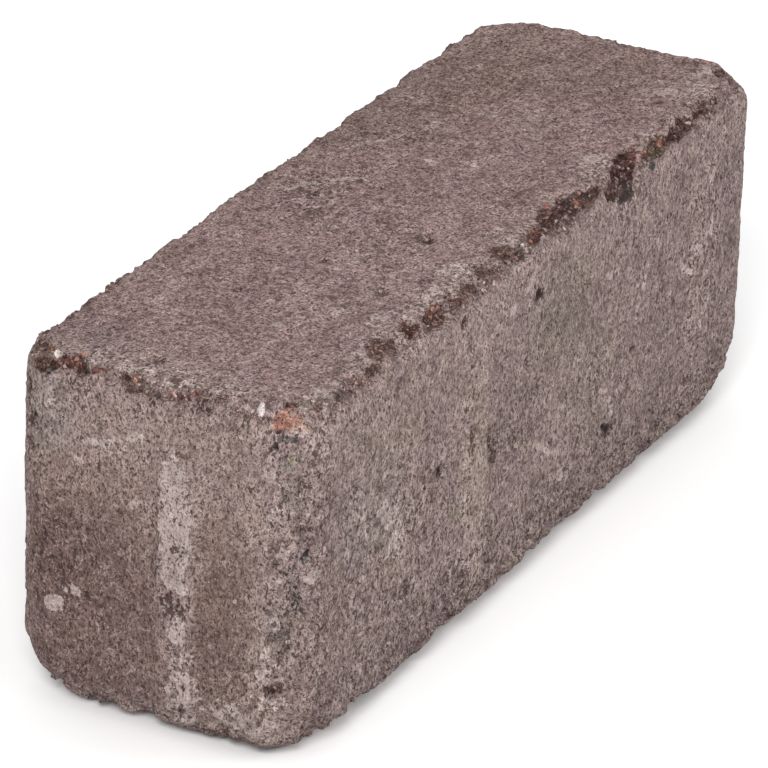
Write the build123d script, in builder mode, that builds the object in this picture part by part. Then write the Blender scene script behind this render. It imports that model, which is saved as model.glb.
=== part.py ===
from build123d import *

import math
import os
import random

# Tumbled concrete paving brick, pressed in one piece and then knocked about in a drum.
# X runs along its length, Y across it and Z up. The origin is the middle of the bed face.

# Pressed block, without its spacer ribs
length = 208.0
width = 68.0
height = 78.0

# Rounding of the upright corners, of the wearing face's edge and of the bed face's edge
plan_corner = 10.0
top_edge = 3.8
bed_edge = 9.0

# Spacer ribs: low tapered pads that keep the joint open, two on each long side and one on each end.
# The places are those of the front side and the left end; the other two faces have them turned round.
rib_proud = 1.0
rib_width = 8.0
rib_top_gap = 12.0
rib_bed_gap = 6.0
rib_taper = 55.0
rib_root = 0.5
side_rib_places = (-32.0, 75.0)
end_rib_place = -5.0

# Worn radius of each corner after tumbling, keyed by its side along X, Y and Z
corner_wear = {
    (-1, 1, 1): 8.5,
    (-1, -1, 1): 11.0,
    (1, -1, 1): 9.0,
    (1, 1, 1): 10.0,
    (-1, 1, -1): 13.0,
    (-1, -1, -1): 12.0,
    (1, -1, -1): 14.0,
    (1, 1, -1): 12.0,
}

# Bites out of the arrises, as the place along the arris, the radius of the hollow and its depth
front_top_bites = (
    (-84.0, 14.0, 0.9),
    (-63.0, 10.0, 1.6),
    (-45.0, 10.0, 1.7),
    (-31.0, 14.0, 1.1),
    (-11.0, 18.0, 0.9),
    (8.0, 10.0, 1.3),
    (21.0, 14.0, 1.0),
    (36.0, 10.0, 2.6),
    (54.0, 10.0, 1.5),
    (67.0, 14.0, 1.2),
    (85.0, 14.0, 1.0),
)
front_bed_bites = (
    (-93.0, 10.0, 1.9),
    (-77.0, 14.0, 2.1),
    (-58.0, 18.0, 0.5),
    (-41.0, 10.0, 2.0),
    (-1.0, 10.0, 0.8),
    (14.0, 14.0, 2.1),
    (29.0, 10.0, 0.6),
    (52.0, 18.0, 0.3),
    (88.0, 14.0, 1.0),
)
back_top_bites = (
    (-96.0, 10.0, 1.1),
    (-72.0, 18.0, 0.4),
    (-36.0, 14.0, 0.6),
    (-10.0, 18.0, 0.4),
    (28.0, 14.0, 1.1),
    (52.0, 14.0, 0.9),
    (76.0, 10.0, 1.2),
    (91.0, 14.0, 1.0),
)
left_top_bites = (
    (22.0, 10.0, 1.7),
    (12.0, 10.0, 1.5),
    (0.0, 14.0, 0.9),
    (-21.0, 10.0, 1.2),
)
left_bed_bites = (
    (22.0, 14.0, 1.5),
    (5.0, 10.0, 1.3),
    (-25.0, 10.0, 0.8),
)
right_top_bites = (
    (-20.0, 14.0, 0.9),
    (25.0, 14.0, 0.8),
)

# Arrises that the photo doesn't show: how many bites each has, and the ranges that they are drawn from
back_bed_count = 11
right_bed_count = 4
upright_count = 3
drawn_radius = (10.0, 14.0, 18.0)
drawn_depth = (0.6, 1.6)
upright_depth = (0.3, 0.8)
drawn_shift = 0.3
bite_angle = 45.0
bite_lean = 18.0
wear_seed = 11

# How far a corner's side facets turn away from its middle facet
facet_turn = 2.2

half_length = length / 2
half_width = width / 2
up = Vector(0, 0, 1)
down = Vector(0, 0, -1)
front = Vector(0, -1, 0)
back = Vector(0, 1, 0)
left = Vector(-1, 0, 0)
right = Vector(1, 0, 0)
wear = random.Random(wear_seed)


def bite_seat(corner, run, normals, rounding, radius, depth):
    """Plane at the centre of a ball that bites into a rounded arris, with the ball's seam turned away from it."""
    first, second = normals
    lean = math.radians(bite_angle + wear.uniform(-bite_lean, bite_lean))
    outward = first * math.cos(lean) + second * math.sin(lean)
    centre = corner - (first + second) * rounding + outward * (rounding + radius - depth)
    return Plane(origin=centre, x_dir=outward, z_dir=run)


def drawn_bites(count, reach, depths):
    """Unevenly spaced bites over an arris that reaches the same distance both ways, like the listed ones."""
    bites = []
    for step in range(count):
        share = (step + 0.5 + wear.uniform(-drawn_shift, drawn_shift)) / count
        bites.append((reach * (2 * share - 1), wear.choice(drawn_radius), wear.uniform(*depths)))
    return bites


def all_bites():
    """Seats of the bites on all twelve arrises, grouped by radius."""
    arrises = []
    back_bed_bites = drawn_bites(back_bed_count, half_length, drawn_depth)
    right_bed_bites = drawn_bites(right_bed_count, half_width, drawn_depth)
    for direction, z, rounding, front_bites, back_bites, left_bites, right_bites in (
        (up, height, top_edge, front_top_bites, back_top_bites, left_top_bites, right_top_bites),
        (down, 0, bed_edge, front_bed_bites, back_bed_bites, left_bed_bites, right_bed_bites),
    ):
        arrises += [
            (front * half_width + up * z, right, (front, direction), rounding, front_bites),
            (back * half_width + up * z, right, (back, direction), rounding, back_bites),
            (left * half_length + up * z, back, (left, direction), rounding, left_bites),
            (right * half_length + up * z, back, (right, direction), rounding, right_bites),
        ]
    for side in (left, right):
        for face in (front, back):
            middle = side * half_length + face * half_width + up * height / 2
            bites = drawn_bites(upright_count, height / 2, upright_depth)
            arrises.append((middle, up, (side, face), plan_corner, bites))

    seats = {}
    for middle, run, normals, rounding, bites in arrises:
        for place, radius, depth in bites:
            seat = bite_seat(middle + run * place, run, normals, rounding, radius, depth)
            seats.setdefault(radius, []).append(seat)
    return seats


def corner_facets():
    """Planes that shave each corner to a rough dome of its worn radius."""
    facets = []
    for side, worn in corner_wear.items():
        corner = Vector(side[0] * half_length, side[1] * half_width, height if side[2] > 0 else 0)
        dome = corner - Vector(*side) * worn
        for turn in ((1, 1, 1), (facet_turn, 1, 1), (1, facet_turn, 1), (1, 1, facet_turn), (facet_turn, facet_turn, 1)):
            normal = Vector(*(s * t for s, t in zip(side, turn))).normalized()
            facets.append(Plane(origin=dome + normal * worn, z_dir=normal))
    return facets


os.makedirs("parts", exist_ok=True)

with BuildPart() as tumbled_brick:
    # Pressed block with its rounded edges
    with BuildSketch():
        RectangleRounded(length, width, plan_corner)
    extrude(amount=height)
    fillet(tumbled_brick.faces().sort_by(Axis.Z)[-1].edges(), top_edge)
    fillet(tumbled_brick.faces().sort_by(Axis.Z)[0].edges(), bed_edge)

    # Worn corners
    for facet in corner_facets():
        split(bisect_by=facet, keep=Keep.BOTTOM)

    # Spacer ribs, rooted a little inside the faces
    rib_depth = rib_root + rib_proud
    rib_spread = 2 * rib_depth * math.tan(math.radians(rib_taper))
    rib_height = height - rib_top_gap - rib_bed_gap
    rib_middle = up * (rib_bed_gap + rib_height / 2)
    rib_planes = []
    for turned in (1, -1):
        end = left * (half_length - rib_root) + back * end_rib_place
        rib_planes.append(Plane(origin=end * turned + rib_middle, x_dir=front * turned, z_dir=left * turned))
        for place in side_rib_places:
            side = front * (half_width - rib_root) + right * place
            rib_planes.append(Plane(origin=side * turned + rib_middle, x_dir=right * turned, z_dir=front * turned))
    for plane in rib_planes:
        with BuildSketch(plane):
            Rectangle(rib_width + rib_spread, rib_height)
        extrude(amount=rib_depth, taper=rib_taper)

    # Bites along the arrises
    for radius, seats in all_bites().items():
        with Locations(*seats):
            Sphere(radius, mode=Mode.SUBTRACT)

tumbled_brick.part.label = "tumbled_brick"
export_step(tumbled_brick.part, "parts/tumbled_brick.step")
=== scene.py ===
import math

import bmesh
import bpy
import numpy as np
from mathutils import Matrix, Vector, noise
from mathutils.bvhtree import BVHTree


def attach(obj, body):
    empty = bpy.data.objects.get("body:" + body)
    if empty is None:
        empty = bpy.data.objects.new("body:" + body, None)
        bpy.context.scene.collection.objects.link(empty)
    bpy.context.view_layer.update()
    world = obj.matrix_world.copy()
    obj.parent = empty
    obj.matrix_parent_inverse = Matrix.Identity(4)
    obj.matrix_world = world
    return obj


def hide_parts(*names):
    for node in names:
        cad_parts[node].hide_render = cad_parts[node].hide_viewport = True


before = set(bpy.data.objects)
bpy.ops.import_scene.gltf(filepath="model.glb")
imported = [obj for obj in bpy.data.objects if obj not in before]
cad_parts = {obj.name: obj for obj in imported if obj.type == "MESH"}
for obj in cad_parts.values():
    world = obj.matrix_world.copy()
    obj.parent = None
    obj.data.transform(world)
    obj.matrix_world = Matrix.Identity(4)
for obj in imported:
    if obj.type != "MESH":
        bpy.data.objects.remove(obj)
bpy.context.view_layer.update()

# Tumbled concrete brick. Patterns and places are written in millimetres, meshes are in metres.
MM = 0.001

# Pressed block behind the ribs, as in the part's source
half_length = 104.0
half_width = 34.0
height = 78.0

# Quad size of the skin, and a factor that turns metres into millimetres
voxel = 0.92
to_mm = (1000, 1000, 1000)


# Small helpers for node trees


def add_node(tree, kind, sockets=None, **settings):
    """Adds a node; sockets maps an input's name or number to a value or to another node's output."""
    made = tree.nodes.new(kind)
    for name, value in settings.items():
        setattr(made, name, value)
    for key, value in (sockets or {}).items():
        if isinstance(value, bpy.types.NodeSocket):
            tree.links.new(value, made.inputs[key])
        else:
            made.inputs[key].default_value = value
    return made


def do_math(tree, operation, first, second=0.0, third=0.0):
    return add_node(tree, "ShaderNodeMath", {0: first, 1: second, 2: third}, operation=operation).outputs[0]


def do_vector(tree, operation, first, second=(0, 0, 0)):
    return add_node(tree, "ShaderNodeVectorMath", {0: first, 1: second}, operation=operation).outputs[0]


def ease(tree, value, low, high, out_low=0.0, out_high=1.0):
    """Smooth step of value from low to high."""
    made = add_node(
        tree,
        "ShaderNodeMapRange",
        {"Value": value, "From Min": low, "From Max": high, "To Min": out_low, "To Max": out_high},
        interpolation_type="SMOOTHSTEP",
    )
    return made.outputs[0]


def grain(tree, place, scale, detail=2.0, roughness=0.5):
    """Cloud noise, with scale in features per millimetre."""
    sockets = {"Vector": place, "Scale": scale, "Detail": detail, "Roughness": roughness}
    return add_node(tree, "ShaderNodeTexNoise", sockets).outputs[0]


def chips(tree, place, scale, feature="F1"):
    """Distance within cells, to their points or to their edges."""
    made = add_node(tree, "ShaderNodeTexVoronoi", {"Vector": place, "Scale": scale}, feature=feature)
    return made.outputs["Distance"]


def shifted(tree, place, offset):
    return do_vector(tree, "ADD", place, offset)


def kept(tree, name, output="Fac"):
    """An attribute of the mesh, read in a material."""
    return add_node(tree, "ShaderNodeAttribute", attribute_name=name).outputs[output]


def blend(tree, amount, first, second, kind="MIX"):
    """Mix of two colours, each a triple or another node's output."""
    made = add_node(tree, "ShaderNodeMix", data_type="RGBA", blend_type=kind)
    for socket, value in ((made.inputs[0], amount), (made.inputs[6], first), (made.inputs[7], second)):
        if isinstance(value, bpy.types.NodeSocket):
            tree.links.new(value, socket)
        else:
            socket.default_value = (*value, 1) if isinstance(value, tuple) else value
    return made.outputs[2]


def multiplied(tree, first, second):
    """Product of two colours."""
    return blend(tree, 1.0, first, second, "MULTIPLY")


def greys(tree, value):
    return add_node(tree, "ShaderNodeCombineXYZ", {0: value, 1: value, 2: value}).outputs[0]


def times(tree, *values):
    product = values[0]
    for value in values[1:]:
        product = do_math(tree, "MULTIPLY", product, value)
    return product


def plus(tree, *values):
    total = values[0]
    for value in values[1:]:
        total = do_math(tree, "ADD", total, value)
    return total


def about(tree, value, amount):
    """A cloud's swing about its middle, times amount."""
    return do_math(tree, "MULTIPLY_ADD", value, amount, -amount / 2)


# Linear red, green and blue of the concrete's colours, of its stains, of the stones in it and of painted
# shade
shades = {
    "top": (0.332, 0.225, 0.213),
    "side": (0.330, 0.248, 0.233),
    "end": (0.354, 0.263, 0.239),
    "lilac": (0.285, 0.213, 0.206),
    "taupe": (0.262, 0.184, 0.162),
    "moss": (0.290, 0.236, 0.197),
    "clay": (0.205, 0.138, 0.120),
    "wine": (0.168, 0.106, 0.096),
    # Also used as painted shade, low on the upright faces
    "shade": (0.230, 0.170, 0.158),
    "mist": (0.390, 0.292, 0.274),
    "milk": (0.520, 0.415, 0.388),
    "fog": (0.340, 0.285, 0.262),
    "dark": (0.070, 0.042, 0.038),
    # Painted shade inside small holes
    "black": (0.018, 0.012, 0.012),
    "plum": (0.065, 0.030, 0.031),
    "umber": (0.155, 0.093, 0.078),
    "brick": (0.200, 0.085, 0.068),
    "rust": (0.420, 0.205, 0.150),
    "coral": (0.460, 0.245, 0.185),
    "ember": (0.360, 0.115, 0.080),
    "peach": (0.480, 0.320, 0.250),
    "rose": (0.360, 0.225, 0.200),
    "olive": (0.165, 0.122, 0.090),
    "straw": (0.400, 0.340, 0.210),
    "beige": (0.350, 0.270, 0.235),
    "sand": (0.400, 0.312, 0.272),
    "pearl": (0.430, 0.335, 0.318),
    "cream": (0.480, 0.395, 0.360),
    "white": (0.720, 0.650, 0.620),
    "slate": (0.085, 0.090, 0.092),
    "teal": (0.070, 0.090, 0.088),
    "ash": (0.260, 0.230, 0.215),
    # Painted shade inside pores and pits
    "pore": (0.052, 0.030, 0.027),
}

# Broad washes of colour: place across and up the face, half width, half height,
# turn in degrees, shade, strength
top_washes = (
    (-98, 0, 7, 36, 0, "mist", 0.75),
    (-60, -30, 42, 6, 0, "mist", 0.70),
    (10, -29, 34, 5, 0, "mist", 0.50),
    (92, -27, 10, 7, 0, "mist", 0.75),
    (66, -28, 16, 4, 0, "mist", 0.35),
    (-35, -12, 26, 10, 0, "mist", 0.30),
    (55, 22, 40, 14, 0, "taupe", 0.65),
    (80, 2, 22, 20, 0, "taupe", 0.45),
    (48, -5, 9, 6, 0, "beige", 0.30),
    (60, 16, 16, 10, 0, "clay", 0.25),
    (-92, 22, 10, 9, 0, "lilac", 0.50),
)
side_washes = (
    (-60, 71, 46, 10, 0, "mist", 0.55),
    (10, 72, 34, 8, 0, "mist", 0.45),
    (75, 68, 30, 9, 0, "mist", 0.45),
    (-72, 62, 18, 9, 0, "moss", 0.35),
    (6, 58, 14, 12, 0, "moss", 0.55),
    (-96, 26, 9, 20, 0, "clay", 0.35),
    (-66, 36, 7, 12, 0, "beige", 0.50),
    (-78, 46, 12, 9, 0, "fog", 0.50),
    (22, 36, 12, 12, 0, "moss", 0.45),
    (72, 44, 28, 24, 0, "lilac", 0.55),
    (-12, 40, 14, 12, 0, "lilac", 0.45),
    # The next two washes paint shade: the long side darker towards the bed
    (48, 12, 42, 9, 0, "shade", 0.35),
    (-45, 13, 38, 8, 0, "shade", 0.40),
    (-31, 38, 5.0, 24, 0, "sand", 0.80),
    (-31, 62, 4.4, 9, 0, "mist", 0.55),
    (77, 46, 7, 28, 0, "mist", 0.55),
    # This wash paints shade too: the long side darker low at its right end
    (84, 20, 10, 12, 0, "shade", 0.40),
)
end_washes = (
    (16, 24, 19, 25, 8, "wine", 0.80),
    (26, 38, 10, 14, 0, "wine", 0.55),
    (-14, 26, 6.5, 24, 0, "clay", 0.80),
    (-15, 46, 7, 8, 0, "taupe", 0.45),
    (14, 54, 14, 7, -8, "taupe", 0.60),
    (25, 66, 8, 8, 0, "fog", 0.60),
    (-29, 44, 5.5, 34, 0, "mist", 0.90),
    (-27, 26, 5, 10, 0, "beige", 0.45),
    # These two washes paint light: the foot of the end face paler, as lit by light thrown up from the floor
    (-22, 8, 10, 3.6, 6, "milk", 0.65),
    (4, 4, 30, 2.4, 0, "mist", 0.40),
    (31, 14, 2.4, 8, 20, "mist", 0.35),
    (-5, 38, 4.4, 27, 0, "mist", 0.70),
)

# The two upright faces that the photograph doesn't show: their spacer ribs rub pale too
back_washes = (
    (-75, 38, 4.6, 28, 0, "mist", 0.60),
    (32, 38, 4.6, 26, 0, "beige", 0.60),
    (-10, 71, 70, 8, 0, "mist", 0.45),
    # This wash paints shade: the back darker towards the bed
    (60, 12, 34, 8, 0, "shade", 0.55),
)
right_washes = (
    (5, 38, 4.4, 27, 0, "mist", 0.70),
    (-18, 24, 12, 20, 0, "wine", 0.45),
    (22, 60, 9, 12, 0, "fog", 0.55),
)
back_pale = (
    (-75, 46, 3.6, 12, 0, 0.70),
    (-74, 22, 3.0, 6, 0, 0.60),
    (32, 40, 3.4, 14, 0, 0.55),
    (-28, 56, 5, 1.2, 20, 0.80),
    (61, 38, 4, 3, 0, 0.60),
    (6, 24, 6, 1.6, -25, 0.60),
)
right_pale = (
    (5, 52, 3.4, 10, 0, 0.75),
    (5, 28, 3.2, 8, 0, 0.60),
    (-20, 58, 3, 1.0, 30, 0.80),
)

# Pale smears, with ragged edges: place, half sizes, turn, strength
top_pale = (
    (79, -21, 2.6, 1.9, 0, 1.0),
    (-75, -29, 14, 2.5, 0, 0.5),
    (-88, -30, 12, 4, 0, 0.8),
    (-40, -27, 12, 3, 0, 0.65),
    (-10, -28, 8, 2.5, 0, 0.55),
    (-6, -23, 6, 2.0, 0, 0.5),
    (60, -27, 6, 2.0, 0, 0.5),
    (94, -24, 5, 4.0, 0, 0.6),
    (-3, 19, 10, 1.2, -45, 0.8),
    (-8, 16, 7, 1.0, -42, 0.7),
    (3, 15, 6, 0.9, -50, 0.7),
    (-11, 13, 5, 1.5, -30, 0.5),
    (24, 19, 9, 1.0, -28, 0.9),
    (36, 13, 3, 2, 0, 0.7),
    (19, 4, 1.6, 1.6, 0, 0.9),
    (47, 3.5, 2.0, 1.0, 20, 0.8),
    (21, -5, 2.2, 1.4, 0, 0.8),
    (54, -5, 5, 3, 0, 0.45),
    (80, -22, 2.4, 1.7, 0, 1.0),
    (83.5, -18, 1.0, 0.8, 0, 0.9),
    (-52, -24, 9, 3.5, 0, 0.55),
    (-26, -24, 7, 2.5, 0, 0.45),
    (39, -24, 5, 3.0, 0, 0.7),
    (83, -27, 8, 3.0, 0, 0.6),
    (-68, -7, 1.8, 0.8, 35, 0.9),
    (-56, -14, 2.4, 0.9, 0, 0.8),
    (-59, -2, 1.5, 6, 25, 0.5),
    (-20, 6, 6, 2.5, 0, 0.55),
    (-30, -7, 6, 4, 0, 0.4),
    (-100, 4, 3, 15, 0, 0.6),
    (55, 17, 4, 2, 20, 0.35),
    (-38, 8, 8, 3, 0, 0.3),
    (6, -12, 7, 3, 0, 0.3),
)
side_pale = (
    (-99, 42, 3.0, 1.6, 10, 1.0),
    (-70, 44, 6, 3.5, -35, 0.75),
    (-66, 36, 4.5, 6, 0, 0.6),
    (-80, 47, 2.5, 2.5, 0, 0.6),
    (-79, 42, 1.5, 1.5, 0, 0.7),
    (-63, 28, 3, 6, 0, 0.4),
    (-31, 36, 5, 15, 0, 0.30),
    (-31, 25, 4, 4, 0, 0.50),
    (-31, 46, 3.5, 5, 0, 0.25),
    (-36, 16, 9, 5, 0, 0.4),
    (-9, 70, 4.5, 0.7, 35, 0.9),
    (-17, 67, 2.0, 1.0, 20, 0.9),
    (0, 28, 6.5, 0.8, -25, 0.9),
    (8, 24, 4, 0.9, -35, 0.8),
    (30, 56.5, 4.5, 0.6, -3, 0.9),
    (9, 19, 2, 2, 0, 0.8),
    (54, 54, 4.5, 0.7, -45, 0.8),
    (46, 47, 0.7, 8, -25, 0.55),
    (32, 25, 3, 2.5, -30, 0.6),
    (50, 30, 0.7, 4, -30, 0.5),
    (72, 47, 2.2, 1.2, 0, 0.8),
    (79, 49, 2, 2, 0, 0.9),
    (68, 43, 4, 1.0, -35, 0.9),
    (77, 62, 2.4, 1.5, 20, 0.9),
    (80, 56, 1.2, 2.6, 0, 0.8),
    (80, 42, 1.0, 3.5, 0, 0.8),
    (78, 33, 1.8, 2.5, -20, 0.9),
    (75, 27, 1.4, 4, 0, 0.6),
    (77, 40, 5, 22, 0, 0.35),
    (84, 70, 1.0, 4, -35, 0.6),
    (-47, 60, 2.0, 10, 0, 0.3),
    (-88, 20, 3, 14, 0, 0.3),
)
end_pale = (
    (-5, 50, 4.2, 14, 0, 0.85),
    (-5, 37, 3.6, 3, 0, 0.9),
    (-5, 25, 3.4, 4, 0, 0.6),
    (-6, 12, 4.2, 10, 0, 0.65),
    (13, 62, 3.5, 0.8, -12, 0.9),
    (5, 65, 2.6, 0.8, -20, 0.9),
    (24, 68, 3.5, 0.8, -40, 0.6),
    (23, 24, 2.8, 2.0, -20, 1.0),
    (18, 28, 1.4, 1.6, -40, 0.8),
    (-28, 47, 1.4, 2.4, 0, 1.0),
    (-27, 32, 1.8, 2.6, 0, 0.8),
    (-25, 64, 1.0, 3.0, 45, 0.9),
    (-26, 56, 2.0, 4, 0, 0.5),
    (-26, 20, 4, 8, 0, 0.5),
    # Painted light: the foot of the end face paler, as lit from the floor
    (-18, 8, 9, 5, 0, 0.6),
    (-30, 66, 5, 8, 0, 0.35),
    (17, 57, 0.9, 0.9, 0, 0.8),
    (5, 50, 0.9, 0.9, 0, 0.8),
    (30, 64, 2.5, 5, 0, 0.3),
    (0, 70, 30, 3.0, 0, 0.2),
)

# Dark pits, pushed in and painted dark as the shade inside them: place, half sizes, turn, strength
side_dark = (
    (-4, 65, 1.8, 1.4, 0, 1.0),
    (-38, 72.5, 1.6, 1.0, 0, 0.9),
    (-47, 43, 1.6, 1.3, 0, 1.0),
    (-9, 52, 1.2, 1.0, 0, 0.8),
    (-23, 38, 0.8, 3.4, 20, 0.6),
    (-14, 37, 1.2, 1.8, 0, 0.7),
    (32, 19, 2.6, 1.3, -10, 1.0),
    # These two marks paint the shaded flank of the spacer rib as a dark line, dented a little by the pit
    # depth
    (-34.5, 45, 0.8, 4, 0, 0.7),
    (-35.5, 60, 0.6, 10, 0, 0.35),
    (37, 72, 3.0, 2.2, 0, 1.0),
    (42, 34, 1.4, 1.6, 0, 0.5),
    (-84, 55, 1.2, 2.0, 30, 0.6),
    (-60, 22, 1.6, 1.2, 0, 0.8),
    (-5, 43, 1.2, 2, 0, 0.4),
)
top_dark = (
    (-16, -13, 2.0, 1.4, 0, 0.9),
    (-57, 8, 1.0, 0.8, 0, 1.0),
    (-94, 5, 1.0, 1.4, 0, 0.8),
    (-44, -17.5, 0.8, 0.8, 0, 1.0),
    (-8, 18, 2.4, 1.6, 0, 0.7),
    (53, -8, 1.2, 0.8, 0, 0.7),
    (75, -11, 1.0, 1.0, 0, 0.7),
    (-36, 0, 1.2, 0.9, 0, 0.6),
    (86, 22, 1.6, 1.0, 0, 0.6),
)
end_dark = (
    (31, 70, 1.2, 2.0, 0, 1.0),
    (31, 62, 2.0, 1.4, 0, 1.0),
    (30.5, 57, 1.8, 1.2, 0, 0.9),
    (31, 47, 1.2, 1.6, 0, 0.7),
    # This mark paints the shaded flank of the end's spacer rib as a thin dark line, dented a little by the
    # pit depth
    (0.2, 44, 0.5, 12, 0, 0.3),
    (-4, 31, 3.0, 3.0, 0, 0.6),
    (-5, 43, 0.9, 0.7, 0, 0.8),
    (-32, 52, 1.0, 2.0, 0, 0.7),
)

# Rough ground, with more pores and clods: place, half sizes, turn, strength
side_rough = (
    (-66, 34, 24, 20, 0, 0.8),
    (-30, 12, 76, 8, 0, 0.9),
    (50, 10, 50, 7, 0, 0.7),
    (-100, 40, 6, 40, 0, 0.8),
    (-12, 40, 14, 8, 0, 0.7),
    (26, 30, 16, 12, 0, 0.5),
    (78, 44, 8, 30, 0, 0.7),
    (40, 70, 10, 5, 0, 0.7),
)
end_rough = (
    (-29, 40, 5, 40, 0, 1.0),
    (-5, 30, 4.5, 24, 0, 0.7),
    (30, 60, 5, 16, 0, 0.8),
    (24, 36, 10, 14, 0, 0.6),
    (-26, 16, 9, 8, 0, 0.8),
    (0, 74, 34, 4, 0, 0.6),
)
top_rough = (
    (-4, 18, 14, 8, 0, 0.7),
    (28, 17, 12, 5, -25, 0.6),
    (-24, -6, 14, 8, 0, 0.5),
    (-100, 0, 5, 34, 0, 0.6),
    (0, -31, 100, 4, 0, 0.7),
)

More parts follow.
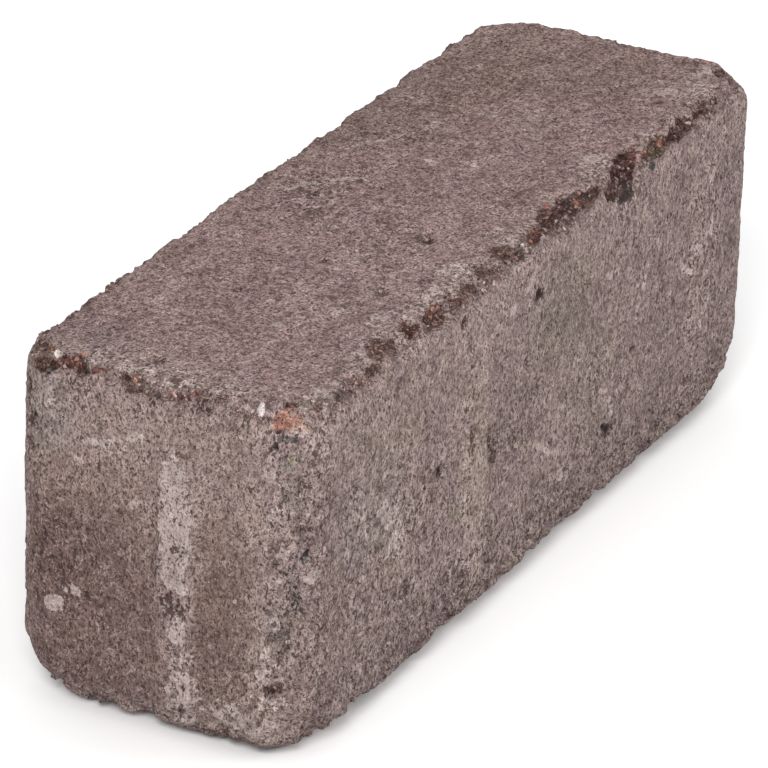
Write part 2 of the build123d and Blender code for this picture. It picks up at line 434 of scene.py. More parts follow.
# Stains and broken patches on the sides that the photograph shows, by its pixels:
# place across, place down, half width, half height, shade, strength, how far the face is broken away
patches_seen = (
    # The "black" patches paint the shade inside small holes, which the break depth also dents a little
    (345, 378, 30, 12, "rose", 0.45, 0.45),
    (382, 345, 18, 10, "umber", 0.55, 0.75),
    (376, 366, 12, 8, "umber", 0.55, 0.65),
    (350, 386, 16, 7, "shade", 0.50, 0.55),
    (322, 398, 16, 6, "beige", 0.60, 0.50),
    (405, 322, 12, 5, "mist", 0.60, 0.45),
    (411, 327, 12, 8, "brick", 0.60, 0.80),
    (436, 312, 12, 12, "umber", 0.75, 1.00),
    (433, 307, 6, 5, "rust", 0.65, 0.60),
    (458, 297, 10, 8, "rose", 0.60, 0.75),
    (455, 268, 22, 8, "milk", 0.55, 0.00),
    (470, 284, 12, 7, "umber", 0.55, 0.75),
    (486, 268, 12, 8, "umber", 0.40, 0.60),
    (509, 250, 22, 9, "umber", 0.50, 0.75),
    (524, 246, 9, 4, "beige", 0.60, 0.60),
    (535, 232, 10, 8, "brick", 0.50, 0.70),
    (549, 216, 13, 13, "umber", 0.70, 0.95),
    (566, 205, 16, 12, "plum", 0.60, 0.95),
    (583, 194, 12, 8, "umber", 0.60, 0.80),
    (596, 187, 10, 7, "umber", 0.50, 0.70),
    (590, 172, 18, 6, "milk", 0.45, 0.00),
    (604, 160, 10, 5, "milk", 0.40, 0.00),
    (625, 166, 13, 19, "plum", 0.95, 1.00),
    (615, 192, 5, 12, "plum", 0.70, 0.70),
    (632, 152, 8, 7, "brick", 0.65, 0.70),
    (630, 193, 9, 6, "teal", 0.80, 0.60),
    (626, 201, 6, 4, "teal", 0.70, 0.50),
    (650, 150, 10, 5, "rust", 0.45, 0.60),
    (661, 143, 10, 12, "olive", 0.75, 0.85),
    (664, 136, 5, 5, "rust", 0.65, 0.60),
    (656, 166, 3, 7, "slate", 0.70, 0.40),
    (678, 133, 8, 9, "plum", 0.80, 0.90),
    (686, 120, 10, 7, "umber", 0.70, 0.80),
    (704, 107, 9, 9, "umber", 0.70, 0.80),
    (717, 99, 6, 6, "shade", 0.60, 0.70),
    (706, 78, 12, 6, "mist", 0.70, 0.00),
    (722, 70, 10, 4, "umber", 0.75, 0.60),
    (734, 77, 5, 3, "brick", 0.60, 0.30),
    (690, 60, 14, 3, "umber", 0.40, 0.50),
    (44, 362, 14, 10, "umber", 0.80, 0.90),
    (40, 342, 9, 8, "rose", 0.65, 0.70),
    (52, 345, 4, 4, "rust", 0.80, 0.60),
    (72, 360, 15, 9, "brick", 0.60, 0.90),
    (82, 371, 8, 5, "plum", 0.80, 0.80),
    (95, 358, 12, 5, "milk", 0.55, 0.40),
    (100, 369, 10, 3.5, "brick", 0.65, 0.60),
    (120, 362, 14, 5, "mist", 0.60, 0.30),
    (123, 377, 6, 5, "umber", 0.80, 0.80),
    (136, 375, 7, 4.5, "rust", 0.60, 0.60),
    (150, 380, 10, 4, "mist", 0.60, 0.40),
    (132, 390, 9, 8, "umber", 0.60, 0.60),
    (152, 400, 10, 8, "umber", 0.45, 0.40),
    (182, 396, 18, 8, "rose", 0.45, 0.60),
    (196, 391, 8, 5, "brick", 0.60, 0.70),
    (170, 382, 18, 4, "milk", 0.50, 0.20),
    (205, 386, 9, 3, "beige", 0.60, 0.30),
    (203, 412, 12, 7, "shade", 0.60, 0.60),
    (222, 394, 10, 5, "umber", 0.50, 0.50),
    (245, 400, 18, 5, "mist", 0.60, 0.40),
    (270, 395, 14, 4, "mist", 0.50, 0.30),
    (292, 404, 9, 5, "umber", 0.80, 0.70),
    (310, 402, 9, 7, "beige", 0.85, 0.40),
    (318, 407, 4, 4, "umber", 0.80, 0.50),
    (288, 421, 16, 12, "coral", 0.95, 0.20),
    (284, 423, 4.5, 3.5, "ember", 0.95, 0.20),
    (304, 427, 8, 7, "peach", 0.60, 0.20),
    (278, 434, 6, 3, "plum", 0.60, 0.50),
    (293, 440, 12, 4, "slate", 0.55, 0.40),
    (290, 462, 14, 12, "fog", 0.60, 0.30),
    (294, 462, 4, 3, "straw", 0.40, 0.00),
    (290, 500, 14, 30, "fog", 0.45, 0.40),
    (294, 596, 9, 34, "slate", 0.45, 0.45),
    (305, 560, 6, 10, "slate", 0.50, 0.30),
    (280, 565, 8, 16, "beige", 0.55, 0.40),
    (280, 640, 14, 26, "fog", 0.45, 0.50),
    # Painted light: the foot of the end face near the corner paler, as lit from the floor
    (262, 706, 30, 10, "milk", 0.45, 0.20),
    (272, 692, 12, 8, "umber", 0.45, 0.60),
    (309, 553, 3.5, 3.5, "black", 1.00, 0.30),
    (275, 447, 4, 4, "black", 1.00, 0.30),
    (25, 384, 2.5, 6, "black", 0.80, 0.60),
    (36, 426, 7, 8, "slate", 0.45, 0.50),
    (32, 414, 2.5, 5, "black", 0.80, 0.50),
    (56, 457, 14, 10, "brick", 0.30, 0.00),
    (220, 590, 16, 20, "clay", 0.40, 0.00),
    (168, 596, 7, 5, "brick", 0.50, 0.20),
    (543, 293, 4.5, 5, "black", 0.90, 0.30),
    (539, 301, 3.5, 3, "umber", 0.70, 0.20),
    (469, 323, 2.8, 3, "black", 0.90, 0.20),
    (443, 470, 5, 5, "black", 0.80, 0.30),
    (609, 428, 5.5, 5, "black", 0.90, 0.30),
    (657, 101, 8, 2.2, "umber", 0.70, 0.20),
    (478, 415, 9, 20, "sand", 0.55, 0.00),
    (482, 455, 11, 28, "sand", 0.60, 0.00),
    (485, 500, 12, 22, "sand", 0.52, 0.00),
    (492, 430, 3, 4, "umber", 0.60, 0.35),
    (491, 438, 3, 5, "umber", 0.60, 0.35),
    (494, 447, 4, 5, "umber", 0.65, 0.40),
    (499, 453, 4, 4, "umber", 0.55, 0.35),
    (496, 462, 5, 5, "umber", 0.65, 0.40),
    (503, 478, 5, 6, "umber", 0.50, 0.35),
    (477, 430, 4, 3, "umber", 0.50, 0.35),
    (474, 438, 3, 4, "umber", 0.55, 0.35),
    (470, 451, 4, 3, "umber", 0.50, 0.30),
    (474, 512, 4, 6, "umber", 0.50, 0.30),
    (514, 446, 3, 5, "umber", 0.50, 0.25),
    (527, 447, 12, 14, "beige", 0.50, 0.00),
    (547, 446, 9, 3.5, "pearl", 0.80, 0.00),
    (397, 505, 9, 8, "pearl", 0.80, 0.00),
    (413, 504, 5, 6, "pearl", 0.65, 0.00),
    (365, 530, 5, 9, "pearl", 0.65, 0.00),
    (422, 570, 8, 7, "mist", 0.60, 0.00),
    (457, 512, 8, 14, "moss", 0.60, 0.00),
    (487, 542, 6, 10, "pearl", 0.50, 0.00),
    (394, 566, 5, 14, "sand", 0.55, 0.00),
    (380, 488, 9, 7, "umber", 0.50, 0.10),
    (432, 480, 12, 6, "umber", 0.45, 0.10),
    (430, 238, 6, 3, "umber", 0.70, 0.20),
)

# Single stones that show on the broken arrises, by the photograph's pixels:
# place across, place down, half width in millimetres, shade
stones_seen = (
    (440, 313, 0.7, "umber"),
    (428, 326, 0.5, "cream"),
    (489, 267, 0.7, "rose"),
    (523, 245, 0.6, "white"),
    (527, 251, 0.5, "cream"),
    (546, 206, 0.8, "ember"),
    (549, 213, 0.8, "brick"),
    (577, 203, 0.7, "ember"),
    (571, 208, 0.6, "brick"),
    (579, 194, 0.7, "rust"),
    (567, 218, 0.8, "ash"),
    (556, 222, 0.6, "cream"),
    (637, 160, 0.7, "rose"),
    (632, 149, 0.7, "brick"),
    (640, 149, 0.8, "beige"),
    (660, 129, 0.6, "brick"),
    (688, 123, 0.8, "cream"),
    (706, 62, 0.7, "rust"),
    (57, 354, 0.8, "white"),
    (78, 364, 0.7, "brick"),
    (84, 353, 0.6, "rust"),
    (65, 366, 0.5, "cream"),
    (50, 370, 0.6, "slate"),
    (96, 369, 0.5, "brick"),
    (106, 370, 0.5, "brick"),
    (148, 380, 0.4, "cream"),
    (193, 395, 0.6, "brick"),
    (205, 388, 0.6, "peach"),
    (230, 403, 0.9, "beige"),
    (246, 408, 0.7, "cream"),
    (260, 410, 1.7, "white"),
    (253, 411, 0.6, "cream"),
    (293, 414, 0.8, "beige"),
    (279, 440, 0.8, "slate"),
    (270, 480, 0.9, "beige"),
    (280, 556, 0.9, "cream"),
    (281, 566, 0.8, "beige"),
    (279, 582, 0.8, "cream"),
    (275, 630, 0.8, "cream"),
    (54, 604, 1.0, "cream"),
    (60, 598, 0.6, "cream"),
    (66, 590, 0.6, "cream"),
    (196, 607, 0.5, "brick"),
    (235, 602, 0.7, "cream"),
    (134, 436, 0.8, "cream"),
    (660, 81, 0.7, "cream"),
    (493, 116, 0.7, "cream"),
    (429, 161, 1.2, "milk"),
    (473, 165, 1.1, "milk"),
    (543, 162, 0.7, "cream"),
    (709, 178, 0.8, "white"),
    (700, 202, 0.6, "cream"),
)

# The photograph's camera, from a fit of the brick's outline:
# azimuth, elevation and roll in degrees, then metres and pixels
picture = 768
view_angles = (-63.008, 25.379, 1.764)
view_distance = 1.26055
view_focal = 6025.55
view_offset = (17.216, -21.379)
view_centre = Vector((0, 0, 0.040))


class Sight:
    """The photograph's line of sight: where a pixel meets the brick, and which pixel a point falls on."""

    def __init__(self):
        azimuth, elevation, roll = (math.radians(value) for value in view_angles)
        level = math.cos(elevation)
        self.back = Vector((math.sin(azimuth) * level, -math.cos(azimuth) * level, math.sin(elevation)))
        right = (-self.back).cross(Vector((0, 0, 1))).normalized()
        up = right.cross(-self.back)
        self.across = right * math.cos(roll) + up * math.sin(roll)
        self.above = up * math.cos(roll) - right * math.sin(roll)
        self.eye = view_centre + self.back * view_distance

    def pixels(self, points):
        """Pixels of an array of points in metres."""
        away = points - np.array(self.eye)
        deep = -away @ np.array(self.back)
        across = picture / 2 + view_offset[0] + view_focal * (away @ np.array(self.across)) / deep
        down = picture / 2 + view_offset[1] - view_focal * (away @ np.array(self.above)) / deep
        return across, down

    def meet(self, tree, across, down):
        """Point and normal of the surface under a pixel."""
        right = (across - picture / 2 - view_offset[0]) / view_focal
        up = -(down - picture / 2 - view_offset[1]) / view_focal
        ray = (self.across * right + self.above * up - self.back).normalized()
        hit, normal, _, _ = tree.ray_cast(self.eye, ray)
        return hit, normal


# The skin's quads are too coarse for a thinner mark
finest_mark = 1.15

# How far one face's colours reach over an arris, and the swing of the colour from cloud to cloud
arris_blend = 1.6
tone_swing = 0.12


def soft(values, low, high):
    """Smooth step of values from low to high."""
    t = np.clip((values - low) / (high - low), 0, 1)
    return t * t * (3 - 2 * t)


def cloud(points, scale, offset, octaves=3):
    return np.array([noise.fractal(Vector(p) * scale + Vector(offset), 1.0, 2.0, octaves) for p in points])


def oval(across, up, mark, bend, edge):
    """Smooth 0 to 1 field of one turned oval, its outline pushed about by bend in millimetres."""
    u, v, wide, tall, turn = mark
    wide, tall = max(wide, finest_mark), max(tall, finest_mark)
    a = math.radians(turn)
    x = across - u + bend[0] * min(wide, 8) * 0.35
    y = up - v + bend[1] * min(tall, 8) * 0.35
    reach = np.hypot((x * math.cos(a) + y * math.sin(a)) / wide, (y * math.cos(a) - x * math.sin(a)) / tall)
    return soft(reach, 1 + edge, 1 - edge)


def paint(mesh, sight):
    """Keeps the colour zones, marks, rough ground and broken places as the mesh's own attributes."""
    count = len(mesh.vertices)
    metres = np.zeros(count * 3)
    mesh.vertices.foreach_get("co", metres)
    metres = metres.reshape(-1, 3)
    normals = np.zeros(count * 3)
    mesh.vertices.foreach_get("normal", normals)
    normals = normals.reshape(-1, 3)
    places = metres / MM
    x, y, z = places.T
    # How much each face owns a point, from its distance to that face's plane
    reach = np.stack([half_length - np.abs(x), half_width - np.abs(y), np.minimum(height - z, z)])
    share = np.exp(-np.maximum(reach, 0) / arris_blend)
    share /= share.sum(0) + 1e-9
    top = share[2] * (z > height / 2)
    side = share[1] * (y < 0)
    end = share[0] * (x < 0)
    hidden = np.clip(1 - top - side - end, 0, 1)
    mottle = cloud(places, 0.05, (3, 1, 7))
    bend = (cloud(places, 0.12, (2, 5, 1)), cloud(places, 0.12, (8, 3, 4)))

    upright = side + hidden
    tone = np.outer(top, shades["top"]) + np.outer(upright, shades["side"]) + np.outer(end, shades["end"])
    pale = np.zeros(count)
    dark = np.zeros(count)
    rough = hidden * soft(mottle, -0.2, 0.5)
    for owned, (across, up), washes, smears, hollows, ground in (
        (top, (x, y), top_washes, top_pale, top_dark, top_rough),
        (side, (x, z), side_washes, side_pale, side_dark, side_rough),
        (end, (y, z), end_washes, end_pale, end_dark, end_rough),
        (hidden * (y > half_width / 2), (x, z), back_washes, back_pale, (), ()),
        (hidden * (x > half_length / 2), (y, z), right_washes, right_pale, (), ()),
    ):
        for *mark, shade, strength in washes:
            amount = owned * strength * oval(across, up, mark, bend, 0.45)
            tone += (np.array(shades[shade]) - tone) * amount[:, None]
        for kind, marks, edge in ((pale, smears, 0.5), (dark, hollows, 0.5), (rough, ground, 0.5)):
            for *mark, strength in marks:
                np.maximum(kind, owned * strength * oval(across, up, mark, bend, edge), out=kind)
    # The faces that the photograph doesn't show get washes and smears at random
    for shade, start in (("mist", (1, 9, 2)), ("shade", (6, 2, 8))):
        amount = hidden * soft(cloud(places, 0.03, start), 0.0, 0.5) * 0.6
        tone += (np.array(shades[shade]) - tone) * amount[:, None]
    tone *= (1 + tone_swing * mottle)[:, None]
    np.maximum(pale, hidden * soft(cloud(places, 0.16, (5, 5, 5)), 0.25, 0.8) * 0.6, out=pale)

    # Stains and breaks along the arrises
    across, down = sight.pixels(metres)
    facing = soft(normals @ np.array(sight.back), 0.02, 0.15)
    stain = tone.copy()
    stained = np.zeros(count)
    broken = np.zeros(count)
    fine_bend = (cloud(places, 0.4, (4, 4, 1), 2) * 1.6, cloud(places, 0.4, (7, 1, 6), 2) * 1.6)
    for u, v, wide, tall, shade, strength, loss in patches_seen:
        near = oval(across, down, (u, v, wide, tall, 0), fine_bend, 0.4) * facing
        stain += (np.array(shades[shade]) - stain) * soft(near, 0.02, 0.4)[:, None]
        np.maximum(stained, near * strength, out=stained)
        np.maximum(broken, near * loss, out=broken)

    for name, values in (("tone", tone), ("stain", stain)):
        kept_colour = mesh.attributes.new(name, "FLOAT_COLOR", "POINT")
        kept_colour.data.foreach_set("color", np.column_stack([values, np.ones(count)]).ravel())
    for name, values in (
        ("pale", pale),
        ("dark", dark),
        ("rough", rough),
        ("upright", side + end + hidden),
        ("stained", stained),
        ("broken", broken),
        ("unseen", hidden),
        ("lively", 1.5 * top + 1.15 * side + end + 1.1 * hidden),
    ):
        mesh.attributes.new(name, "FLOAT", "POINT").data.foreach_set("value", np.clip(values, 0, 1.5))


# The worn mesh


def link_object(name, mesh):
    made = bpy.data.objects.new(name, mesh)
    bpy.context.scene.collection.objects.link(made)
    return made


def settled_mesh(source, name):
    """The evaluated object's mesh, as plain data."""
    graph = bpy.context.evaluated_depsgraph_get()
    settled = source.evaluated_get(graph)
    mesh = bpy.data.meshes.new_from_object(settled, preserve_all_data_layers=True, depsgraph=graph)
    mesh.name = name
    return mesh


def even_skin(node):
    """An even quad skin over the CAD brick."""
    mesh = node.data.copy()
    skin = bmesh.new()
    skin.from_mesh(mesh)
    bmesh.ops.remove_doubles(skin, verts=skin.verts, dist=0.002 * MM)
    skin.to_mesh(mesh)
    skin.free()
    rough = link_object("rough_skin", mesh)
    remesh = rough.modifiers.new("even", "REMESH")
    remesh.mode = "VOXEL"
    remesh.voxel_size = voxel * MM
    bpy.context.view_layer.update()
    even = settled_mesh(rough, "even_skin")
    bpy.data.objects.remove(rough)
    return even


def grown(name, mesh, build, settings):
    """Runs one Geometry Nodes tree over a mesh and keeps its result as a plain object."""
    tree, sizes = build()
    carrier = link_object("carrier", mesh)
    step = carrier.modifiers.new("grow", "NODES")
    step.node_group = tree
    for setting, value in settings.items():
        step[sizes[setting]] = value
    result = settled_mesh(carrier, name)
    bpy.data.objects.remove(carrier)
    return link_object(name, result)


def start_tree(name, sizes):
    """A Geometry Nodes tree with named sizes; gives the tree, their identifiers and its two ends."""
    tree = bpy.data.node_groups.new(name, "GeometryNodeTree")
    add = tree.interface.new_socket
    add("Geometry", in_out="INPUT", socket_type="NodeSocketGeometry")
    keys = {size: add(size, in_out="INPUT", socket_type="NodeSocketFloat").identifier for size in sizes}
    keys["Material"] = add("Material", in_out="INPUT", socket_type="NodeSocketMaterial").identifier
    add("Geometry", in_out="OUTPUT", socket_type="NodeSocketGeometry")
    return tree, keys, tree.nodes.new("NodeGroupInput").outputs, tree.nodes.new("NodeGroupOutput").inputs


def field(tree, name):
    """A named attribute, read in Geometry Nodes."""
    return add_node(tree, "GeometryNodeInputNamedAttribute", {"Name": name}, data_type="FLOAT").outputs[0]


def scaled(tree, vector, factor):
    return add_node(tree, "ShaderNodeVectorMath", {0: vector, 3: factor}, operation="SCALE").outputs[0]


def numbered(tree, geometry, name, value, domain):
    """Keeps a number on the geometry as a named attribute."""
    sockets = {"Geometry": geometry, "Name": name, "Value": value}
    made = add_node(tree, "GeometryNodeStoreNamedAttribute", sockets, data_type="FLOAT", domain=domain)
    return made.outputs[0]


def finish_tree(tree, geometry, material, result):
    """Ends a tree in plain geometry with its material."""
    whole = add_node(tree, "GeometryNodeRealizeInstances", {"Geometry": geometry}).outputs[0]
    coated = add_node(tree, "GeometryNodeSetMaterial", {"Geometry": whole, "Material": material}).outputs[0]
    tree.links.new(coated, result[0])


def wear_tree():
    """Works waves, pores, clods and broken arrises into the skin, always inwards."""
    tree, keys, given, result = start_tree("wear_of_brick", tuple(wear_sizes))
    position = add_node(tree, "GeometryNodeInputPosition").outputs[0]
    place = do_vector(tree, "MULTIPLY", position, to_mm)
    apart = add_node(tree, "ShaderNodeSeparateXYZ", {0: place}).outputs
    to_end = do_math(tree, "SUBTRACT", given["Half length"], do_math(tree, "ABSOLUTE", apart[0]))
    to_side = do_math(tree, "SUBTRACT", given["Half width"], do_math(tree, "ABSOLUTE", apart[1]))
    to_top = do_math(tree, "SUBTRACT", given["Height"], apart[2])
    to_level = do_math(tree, "MINIMUM", to_top, apart[2])
    near = do_math(tree, "MINIMUM", to_end, to_side)
    far = do_math(tree, "MAXIMUM", to_end, to_side)
    to_arris = do_math(tree, "MAXIMUM", near, do_math(tree, "MINIMUM", far, to_level))

    # Broken zone along the arrises, ragged at two scales, and the breaks that the photograph shows
    ragged = about(tree, grain(tree, place, 0.11, 3.0, 0.6), 9.0)
    fray = about(tree, grain(tree, place, 0.45, 2.0, 0.6), 4.0)
    worn = ease(tree, plus(tree, to_arris, ragged, fray), 4.2, 1.6)
    unseen = field(tree, "unseen")
    worn = times(tree, worn, do_math(tree, "MULTIPLY_ADD", unseen, 0.45, 0.55))
    broken = do_math(tree, "MAXIMUM", worn, field(tree, "broken"))
    low = ease(tree, apart[2], 22.0, 3.0)
    edge = ease(tree, to_arris, 9.0, 1.0)

    # Depths, in millimetres
    wave = times(tree, grain(tree, place, 0.05, 2.0), given["Wave depth"])
    coarse = grain(tree, shifted(tree, place, (31, 7, 13)), 0.42, 3.0, 0.6)
    ground = plus(tree, 0.7, field(tree, "rough"))
    pore = times(tree, ease(tree, coarse, 0.50, 0.70), given["Pore depth"], ground)
    fine = times(tree, grain(tree, place, 0.85, 2.0, 0.7), given["Grain depth"])
    cells = chips(tree, shifted(tree, place, (3, 0, 6)), 0.34)
    facets = plus(tree, cells, times(tree, coarse, 0.5))
    chunk = times(tree, facets, broken, given["Break depth"])
    lumps = ease(tree, grain(tree, place, 0.15, 4.0, 0.65), 0.45, 0.57)
    bed = times(tree, lumps, do_math(tree, "MAXIMUM", low, times(tree, edge, 0.45)), given["Bed depth"])
    pit = times(tree, field(tree, "dark"), given["Pit depth"])
    depth = plus(tree, wave, pore, fine, chunk, bed, pit)

    normal = add_node(tree, "GeometryNodeInputNormal").outputs[0]
    offset = scaled(tree, normal, do_math(tree, "MULTIPLY", depth, -MM))
    stored = numbered(tree, given["Geometry"], "broken", broken, "POINT")
    moved = add_node(tree, "GeometryNodeSetPosition", {"Geometry": stored, "Offset": offset}).outputs[0]
    smooth = add_node(tree, "GeometryNodeSetShadeSmooth", {"Geometry": moved}).outputs[0]
    finish_tree(tree, smooth, given["Material"], result)
    return tree, keys


# Stones and grains. The stones stay in this box, and are cut, sunk and swollen by these shares
stone_room = ((-half_length, -half_width, 0.0), (half_length, half_width, height - 0.1))
stone_cuts = 7
stone_cut_reach = 0.62
stone_flattening = 0.4
stone_sinking = 0.22
stone_swelling = 1.25


def pebble(skin, centre, normal, size, shade, colours):
    """Adds one angular stone, sunk into the surface, and notes its shade for each of its faces."""
    made = bmesh.ops.create_icosphere(skin, subdivisions=2, radius=1.0)["verts"]
    turn = noise.random_unit_vector().rotation_difference(Vector((0, 0, 1))).to_matrix()
    stretch = Vector((1.0, 0.65 + 0.3 * noise.random(), 0.55 + 0.35 * noise.random()))
    cuts = [noise.random_unit_vector() for _ in range(stone_cuts)]
    for vertex in made:
        point = vertex.co.copy()
        for cut in cuts:
            beyond = point.dot(cut) - stone_cut_reach
            if beyond > 0:
                point -= cut * beyond
        point = turn @ Vector(a * b for a, b in zip(point, stretch))
        point -= normal * point.dot(normal) * stone_flattening
        point = centre - normal * size * MM * stone_sinking + point * size * MM * stone_swelling
        # No stone stands out of the pressed block
        spans = zip(point, *stone_room)
        vertex.co = Vector(min(max(value, low * MM), high * MM) for value, low, high in spans)
    for face in {face for vertex in made for face in vertex.link_faces}:
        colours[face] = shade


def bared_stones(brick, sight, material):
    """The stones that the photograph shows on the broken arrises, each seated on the surface."""
    tree = BVHTree.FromObject(brick, bpy.context.evaluated_depsgraph_get())
    skin = bmesh.new()
    colours = {}
    noise.seed_set(5)
    for across, down, size, shade in stones_seen:
        hit, normal = sight.meet(tree, across, down)
        if hit is not None:
            pebble(skin, hit, normal, size, shade, colours)
    layer = skin.loops.layers.float_color.new("tone")
    for face, shade in colours.items():
        for loop in face.loops:
            loop[layer] = (*shades[shade], 1)
    mesh = bpy.data.meshes.new("bared_stones")
    skin.to_mesh(mesh)
    skin.free()
    mesh.materials.append(material)
    return link_object("bared_stones", mesh)


def random_vector(tree, low, high, seed):
    sockets = {0: low, 1: high, "Seed": seed}
    return add_node(tree, "FunctionNodeRandomValue", sockets, data_type="FLOAT_VECTOR").outputs[0]


def grain_tree():
    """Sows small angular grains over the broken ground."""
    tree, keys, given, result = start_tree("sown_grains", tuple(grain_sizes))
    broken = ease(tree, field(tree, "broken"), 0.35, 0.75)
    density = times(tree, broken, given["Grains per square mm"], 1e6)
    sown = {"Mesh": given["Geometry"], "Density": density, "Seed": 3}
    points = add_node(tree, "GeometryNodeDistributePointsOnFaces", sown).outputs[0]
    ball = add_node(tree, "GeometryNodeMeshIcoSphere", {"Radius": MM, "Subdivisions": 1}).outputs[0]
    size = random_vector(tree, (0.6, 0.5, 0.4), (1.5, 1.2, 1.0), 1)
    scale = scaled(tree, size, given["Grain size"])
    turn = random_vector(tree, (0, 0, 0), (6.2, 6.2, 6.2), 2)
    seats = {"Points": points, "Instance": ball, "Rotation": turn, "Scale": scale}
    placed = add_node(tree, "GeometryNodeInstanceOnPoints", seats).outputs[0]
    tint = add_node(tree, "FunctionNodeRandomValue", {2: 0.0, 3: 1.0, "Seed": 4}, data_type="FLOAT")
    tinted = numbered(tree, placed, "tint", tint.outputs[1], "INSTANCE")
    finish_tree(tree, tinted, given["Material"], result)
    return tree, keys


# Concrete


def start_material(name):
    made = bpy.data.materials.new(name)
    made.use_nodes = True
    tree = made.node_tree
    place = do_vector(tree, "MULTIPLY", add_node(tree, "ShaderNodeTexCoord").outputs["Object"], to_mm)
    return made, tree, tree.nodes["Principled BSDF"], place


def concrete_material():
    made, tree, shader, place = start_material("worn_concrete")
    rough = kept(tree, "rough")
    # On the upright faces the grain is drawn out along the pressing, and joins the top's at the arris
    drag = 0.7
    dragged = shifted(tree, do_vector(tree, "MULTIPLY", place, (1, 1, drag)), (0, 0, height * (1 - drag)))
    mixed = {0: kept(tree, "upright"), 4: place, 5: dragged}
    bent = add_node(tree, "ShaderNodeMix", mixed, data_type="VECTOR").outputs[1]

    dust = grain(tree, place, 3.0, 2.0, 0.6)
    specks = grain(tree, bent, 1.6, 3.0, 0.65)
    sand = grain(tree, shifted(tree, bent, (9, 2, 5)), 0.80, 3.0, 0.65)
    clods = grain(tree, shifted(tree, place, (5, 8, 2)), 0.40, 3.0, 0.60)
    patches = grain(tree, place, 0.13, 3.0, 0.60)
    swing = plus(tree, 1.0, times(tree, rough, 0.6))
    lively = kept(tree, "lively")

    # Paste: grain at five scales, from dust to broad patches
    light = plus(
        tree,
        1.0,
        times(tree, about(tree, dust, 1.15), lively),
        times(tree, about(tree, specks, 1.55), lively),
        times(tree, about(tree, sand, 1.35), lively, swing),
        times(tree, about(tree, clods, 1.55), lively, swing),
        times(tree, about(tree, patches, 1.0), lively),
    )
    light = do_math(tree, "MAXIMUM", light, 0.35)
    # Dark paste is the redder, and pale paste the greyer
    cool = do_math(tree, "POWER", light, 1.05)
    paste_light = add_node(tree, "ShaderNodeCombineXYZ", {0: light, 1: cool, 2: cool}).outputs[0]
    hue = ease(tree, grain(tree, shifted(tree, bent, (60, 2, 7)), 0.12, 4.0, 0.65), 0.40, 0.60)
    drift = blend(tree, hue, (1.00, 0.992, 1.008), (1.008, 1.005, 0.98))
    paste = multiplied(tree, kept(tree, "tone", "Color"), drift)
    colour = multiplied(tree, paste, paste_light)

    # Pale smears and crystals
    smear = plus(tree, kept(tree, "pale"), about(tree, sand, 1.2), about(tree, clods, 1.2))
    smear = ease(tree, plus(tree, smear, about(tree, specks, 0.5)), 0.44, 0.62)
    flour = multiplied(tree, shades["milk"], greys(tree, plus(tree, 0.40, times(tree, light, 0.56))))
    chalk = times(tree, smear, plus(tree, 0.60, times(tree, kept(tree, "upright"), 0.28)))
    colour = blend(tree, chalk, colour, flour)
    flecks = grain(tree, shifted(tree, place, (41, 6, 3)), 1.3, 2.0, 0.6)
    flecks = ease(tree, plus(tree, flecks, times(tree, rough, 0.03)), 0.60, 0.68)
    colour = blend(tree, times(tree, flecks, 0.55), colour, shades["milk"])
    # Small ragged scuffs in clusters, palest on the top
    scuffs = grain(tree, shifted(tree, bent, (13, 44, 8)), 0.50, 4.0, 0.70)
    scuffs = ease(tree, plus(tree, scuffs, about(tree, patches, 0.30)), 0.56, 0.63)
    scuffs = times(tree, scuffs, plus(tree, 0.55, times(tree, kept(tree, "upright"), -0.20)))
    colour = blend(tree, scuffs, colour, flour)

    # Stains, then the broken ground: grains of many shades, with painted shade in the grooves between them
    ragged = plus(tree, about(tree, sand, 1.3), about(tree, specks, 0.8))
    stained = ease(tree, plus(tree, kept(tree, "stained"), ragged), 0.40, 0.54)
    stain = kept(tree, "stain", "Color")
    colour = blend(tree, times(tree, stained, 0.92), colour, multiplied(tree, stain, paste_light))
    raw = ease(tree, plus(tree, kept(tree, "broken"), ragged), 0.42, 0.56)
    jolt = add_node(tree, "ShaderNodeTexNoise", {"Vector": place, "Scale": 0.9, "Detail": 2.0}).outputs[1]
    loose = do_vector(tree, "ADD", place, jolt)
    cells = add_node(tree, "ShaderNodeTexVoronoi", {"Vector": loose, "Scale": 0.85}).outputs
    hues = add_node(tree, "ShaderNodeSeparateColor", {0: cells["Color"]}).outputs
    gaps = ease(tree, chips(tree, loose, 0.85, "DISTANCE_TO_EDGE"), 0.04, 0.20)
    crumb = ease(tree, hues[0], 0.0, 1.0, 0.55, 2.6)
    # Painted shade: each grain darker towards the grooves at its edges, which the bump also sinks
    crumb = times(tree, crumb, do_math(tree, "MULTIPLY_ADD", gaps, 0.65, 0.35))
    bared = blend(tree, 0.40, stain, shades["umber"])
    bared = multiplied(tree, bared, greys(tree, times(tree, crumb, light)))
    bared = blend(tree, times(tree, ease(tree, hues[1], 0.86, 0.88), gaps, 0.8), bared, shades["brick"])
    bared = blend(tree, times(tree, ease(tree, hues[2], 0.90, 0.92), gaps, 0.8), bared, shades["beige"])
    colour = blend(tree, times(tree, raw, 0.85), colour, bared)

    # Curved cracks on rough ground, and how thickly the pores stand in each place
    torn = about(tree, grain(tree, shifted(tree, place, (7, 7, 30)), 0.22, 3.0, 0.6), 1.0)
    torn = do_math(tree, "ABSOLUTE", torn)
    gate = plus(tree, grain(tree, shifted(tree, place, (1, 50, 2)), 0.25, 2.0), times(tree, rough, 0.16))
    cracks = times(tree, ease(tree, torn, 0.022, 0.006), ease(tree, gate, 0.66, 0.74))
    crowd = plus(tree, about(tree, patches, 0.16), about(tree, clods, 0.24), times(tree, cracks, 0.10))
    thick = times(tree, rough, 0.035)
    pits = times(tree, kept(tree, "dark"), 0.20)
    pale_skin = times(tree, smear, -0.03)
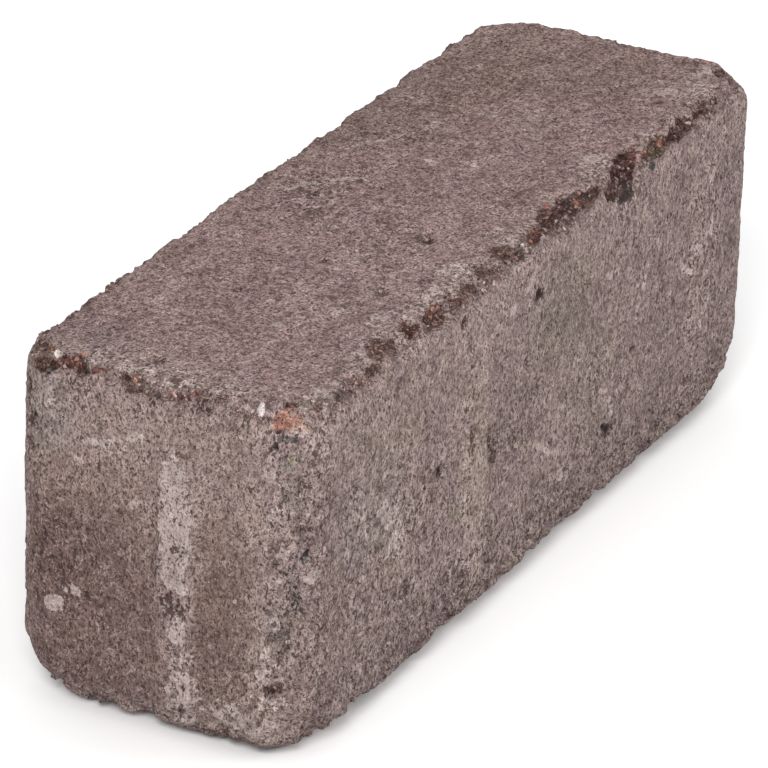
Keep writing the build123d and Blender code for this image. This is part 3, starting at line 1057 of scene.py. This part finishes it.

    # Pores, sharp and dark: torn hollows, round bubbles and narrow holes, sunk by the bump and painted dark
    # as the shade inside them
    hollows = grain(tree, shifted(tree, bent, (17, 3, 9)), 1.25, 3.0, 0.65)
    torn_out = plus(tree, hollows, thick, pits, pale_skin, crowd)
    sway = add_node(tree, "ShaderNodeTexNoise", {"Vector": place, "Scale": 0.8}).outputs[1]
    uneven = do_vector(tree, "ADD", bent, sway)
    bubbles = add_node(tree, "ShaderNodeTexVoronoi", {"Vector": uneven, "Scale": 0.80}).outputs
    chance = add_node(tree, "ShaderNodeSeparateColor", {0: bubbles["Color"]}).outputs[0]
    spread = times(tree, chance, chance, 0.24)
    room = plus(tree, spread, times(tree, crowd, 1.4), times(tree, pale_skin, 2.0), 0.02)
    bubble = ease(tree, plus(tree, bubbles["Distance"], times(tree, room, -1.0)), 0.045, -0.035)
    narrow = plus(tree, grain(tree, shifted(tree, bent, (2, 19, 4)), 2.3, 2.0, 0.6), pale_skin, crowd)
    holes = do_math(tree, "MAXIMUM", ease(tree, torn_out, 0.60, 0.66), times(tree, bubble, 0.9))
    pores = do_math(tree, "MAXIMUM", holes, times(tree, ease(tree, narrow, 0.555, 0.63), 0.60))
    # Painted shade: the pores take the dark pore colour
    colour = blend(tree, times(tree, pores, 0.84), colour, shades["pore"])

    tree.links.new(colour, shader.inputs["Base Color"])
    shader.inputs["Roughness"].default_value = 0.95
    shader.inputs["Specular IOR Level"].default_value = 0.10
    rise = plus(
        tree,
        times(tree, specks, 0.8),
        times(tree, sand, 1.1),
        times(tree, clods, swing, 1.3),
        times(tree, pores, -0.55),
        times(tree, smear, 0.15),
        times(tree, raw, gaps, 0.5),
    )
    bump = add_node(tree, "ShaderNodeBump", {"Strength": 1.0, "Distance": 0.6 * MM, "Height": rise})
    tree.links.new(bump.outputs[0], shader.inputs["Normal"])
    return made


def stone_colour(tree, place, colour):
    """A stone's own speckle: dark crumbs, pale crystals and drifts of the paste's colour."""
    speckle = about(tree, grain(tree, place, 2.4, 3.0, 0.7), 2.2)
    light = plus(tree, 1.0, speckle, about(tree, grain(tree, place, 0.9), 0.9))
    colour = multiplied(tree, colour, greys(tree, light))
    drift = ease(tree, grain(tree, shifted(tree, place, (4, 7, 1)), 1.1, 3.0, 0.6), 0.46, 0.58)
    colour = blend(tree, times(tree, drift, 0.30), colour, shades["taupe"])
    crumbs = ease(tree, grain(tree, shifted(tree, place, (8, 1, 6)), 2.0, 2.0, 0.6), 0.56, 0.64)
    return blend(tree, times(tree, crumbs, 0.45), colour, shades["dark"])


def finish_stone(tree, shader, place, colour):
    tree.links.new(stone_colour(tree, place, colour), shader.inputs["Base Color"])
    shader.inputs["Roughness"].default_value = 0.85
    shader.inputs["Specular IOR Level"].default_value = 0.25
    rise = grain(tree, place, 1.9, 3.0, 0.65)
    bump = add_node(tree, "ShaderNodeBump", {"Strength": 1.0, "Distance": 0.4 * MM, "Height": rise})
    tree.links.new(bump.outputs[0], shader.inputs["Normal"])


def stone_material():
    made, tree, shader, place = start_material("bared_stone")
    finish_stone(tree, shader, place, kept(tree, "tone", "Color"))
    return made


def grain_material():
    made, tree, shader, place = start_material("bared_grain")
    ramp = add_node(tree, "ShaderNodeValToRGB", {0: kept(tree, "tint")})
    ramp.color_ramp.interpolation = "CONSTANT"
    stops = ramp.color_ramp.elements
    while len(stops) < len(grain_shades):
        stops.new(1.0)
    for stop, (start, shade) in zip(stops, grain_shades):
        stop.position = start
        stop.color = (*shades[shade], 1)
    finish_stone(tree, shader, place, ramp.outputs[0])
    return made


# Floor, light and camera. Each lamp has its name, place, size and power
floor_reach = 4.0
floor_grey = 0.80
room_light = 0.68
lamps = (
    ("window_left", (-0.95, -0.35, 0.85), 0.45, 7.5),
    ("window_right", (0.45, -1.10, 0.60), 0.60, 3.6),
)


def seen_directly(tree):
    """One for the camera and for reflections, none for the light that falls on the brick."""
    path = add_node(tree, "ShaderNodeLightPath").outputs
    mirrored = do_math(tree, "MAXIMUM", path["Is Glossy Ray"], path["Is Transmission Ray"])
    return do_math(tree, "MAXIMUM", path["Is Camera Ray"], mirrored)


def studio():
    floor_mesh = bpy.data.meshes.new("studio_floor")
    corners = [(-floor_reach, -floor_reach, 0), (floor_reach, -floor_reach, 0)]
    corners += [(floor_reach, floor_reach, 0), (-floor_reach, floor_reach, 0)]
    floor_mesh.from_pydata(corners, [], [(0, 1, 2, 3)])
    floor = link_object("studio_floor", floor_mesh)
    paper = bpy.data.materials.new("white_paper")
    paper.use_nodes = True
    tree = paper.node_tree
    shader = tree.nodes["Principled BSDF"]
    shader.inputs["Roughness"].default_value = 1.0
    shader.inputs["Specular IOR Level"].default_value = 0.0
    level = do_math(tree, "MULTIPLY_ADD", seen_directly(tree), 0.40, floor_grey)
    tree.links.new(greys(tree, level), shader.inputs["Base Color"])
    floor_mesh.materials.append(paper)

    world = bpy.data.worlds.new("soft_room")
    bpy.context.scene.world = world
    world.use_nodes = True
    tree = world.node_tree
    room = tree.nodes["Background"]
    room.inputs["Color"].default_value = (1, 1, 1, 1)
    strength = do_math(tree, "MULTIPLY_ADD", seen_directly(tree), 1 - room_light, room_light)
    tree.links.new(strength, room.inputs["Strength"])

    for name, place, size, power in lamps:
        lamp = bpy.data.lights.new(name, "AREA")
        lamp.shape = "DISK"
        lamp.size = size
        lamp.energy = power
        held = bpy.data.objects.new(name, lamp)
        bpy.context.scene.collection.objects.link(held)
        held.location = place
        held.rotation_euler = (view_centre - Vector(place)).to_track_quat("-Z", "Y").to_euler()


def camera(sight):
    eye = bpy.data.cameras.new("eye")
    held = bpy.data.objects.new("eye", eye)
    bpy.context.scene.collection.objects.link(held)
    turned = Matrix((sight.across, sight.above, sight.back)).transposed().to_4x4()
    turned.translation = sight.eye
    held.matrix_world = turned
    eye.sensor_width = 36
    eye.lens = view_focal / picture * eye.sensor_width
    eye.shift_x = -view_offset[0] / picture
    eye.shift_y = view_offset[1] / picture
    eye.clip_end = 20
    bpy.context.scene.camera = held


# Sizes of the wear in millimetres, and the shades of the sown grains with each shade's start from 0 to 1
wear_sizes = {
    "Wave depth": 0.35,
    "Pore depth": 0.45,
    "Grain depth": 0.35,
    "Break depth": 1.2,
    "Bed depth": 1.4,
    "Pit depth": 0.7,
    "Half length": half_length,
    "Half width": half_width,
    "Height": height,
}
grain_sizes = {"Grains per square mm": 0.06, "Grain size": 0.42}
grain_shades = (
    (0.0, "umber"),
    (0.30, "beige"),
    (0.48, "rose"),
    (0.60, "brick"),
    (0.72, "rust"),
    (0.79, "ash"),
    (0.90, "cream"),
    (0.96, "slate"),
)

sight = Sight()
skin = even_skin(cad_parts["tumbled_brick"])
paint(skin, sight)
brick = grown("tumbled_brick_body", skin, wear_tree, {**wear_sizes, "Material": concrete_material()})
stones = bared_stones(brick, sight, stone_material())
grains = grown("bared_grains", brick.data.copy(), grain_tree, {**grain_sizes, "Material": grain_material()})
for piece in (brick, stones, grains):
    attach(piece, "root")
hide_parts("tumbled_brick")
studio()
camera(sight)
bpy.context.scene.view_settings.view_transform = "Standard"
